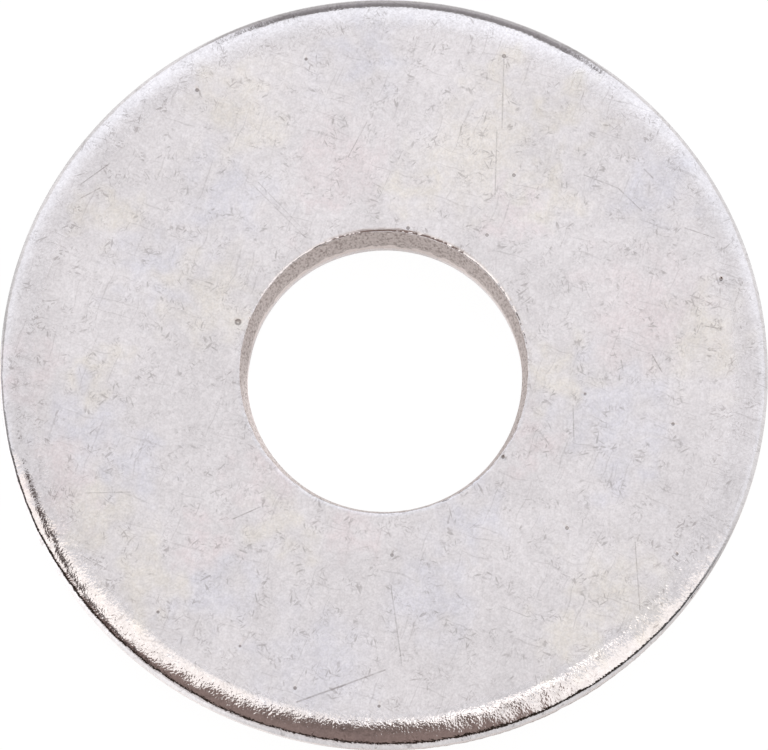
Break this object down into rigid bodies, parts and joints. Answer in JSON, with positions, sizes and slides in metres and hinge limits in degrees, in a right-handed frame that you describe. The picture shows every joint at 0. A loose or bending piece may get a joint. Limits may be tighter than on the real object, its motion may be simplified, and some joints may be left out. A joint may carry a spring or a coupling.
{
  "type": "fender washer",
  "caption": "Wide flat steel ring washer with a round bore, a soft die-rolled rim on one face and a slightly flared, torn bore edge; it spreads the load of a bolt or nut.",
  "frame": {"origin": "middle of the face that the washer rests on, on the axis of the bore", "axes": "+Z along the bore, out of the face whose rim is rolled down; X and Y lie in the resting face"},
  "size_m": [0.024, 0.024, 0.002],
  "materials": {
    "zinc_plate": "bright zinc plating over sheared and tumbled steel, satin, with fine tumbling scratches, small pits and faint blue and yellow passivation tints"
  },
  "bodies": {
    "root": {"washer": "zinc_plate"}
  },
  "joints": []
}
